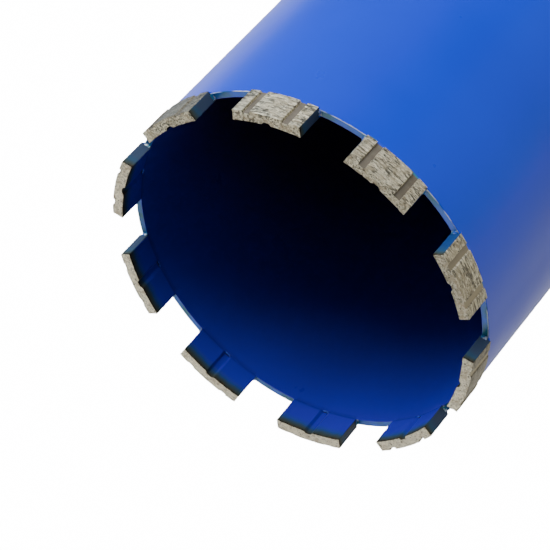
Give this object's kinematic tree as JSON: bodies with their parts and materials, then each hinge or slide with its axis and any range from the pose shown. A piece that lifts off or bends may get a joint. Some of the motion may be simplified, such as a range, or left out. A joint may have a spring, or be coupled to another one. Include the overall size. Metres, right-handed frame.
{
  "type": "diamond core bit",
  "caption": "Wet diamond core bit: thin blue steel barrel with brazed, grooved segments on its rim and a threaded hub at the rear.",
  "frame": {"origin": "centre of the hub's end face, which seats against the drill spindle and on which the bit stands", "axes": "+Z along the bit's axis, from the hub towards the cutting end; +X through a gap between two segments; the hub's spanner flats face +Y and -Y"},
  "size_m": [0.1308, 0.132, 0.5017],
  "materials": {
    "blue_paint": "semi-gloss enamel",
    "hub_steel": "semi-gloss enamel, bare at the thread and end face",
    "sintered_metal": "ground, with diamond grit and pits",
    "braze_alloy": "silver solder under thin paint"
  },
  "bodies": {
    "root": {"barrel": "blue_paint", "back_plate": "blue_paint", "plate_weld": "blue_paint", "hub": "hub_steel", "hub_weld": "blue_paint", "segment_01": "sintered_metal", "segment_02": "sintered_metal", "segment_03": "sintered_metal", "segment_04": "sintered_metal", "segment_05": "sintered_metal", "segment_06": "sintered_metal", "segment_07": "sintered_metal", "segment_08": "sintered_metal", "segment_09": "sintered_metal", "segment_10": "sintered_metal", "braze_01": "braze_alloy", "braze_02": "braze_alloy", "braze_03": "braze_alloy", "braze_04": "braze_alloy", "braze_05": "braze_alloy", "braze_06": "braze_alloy", "braze_07": "braze_alloy", "braze_08": "braze_alloy", "braze_09": "braze_alloy", "braze_10": "braze_alloy"}
  },
  "joints": []
}
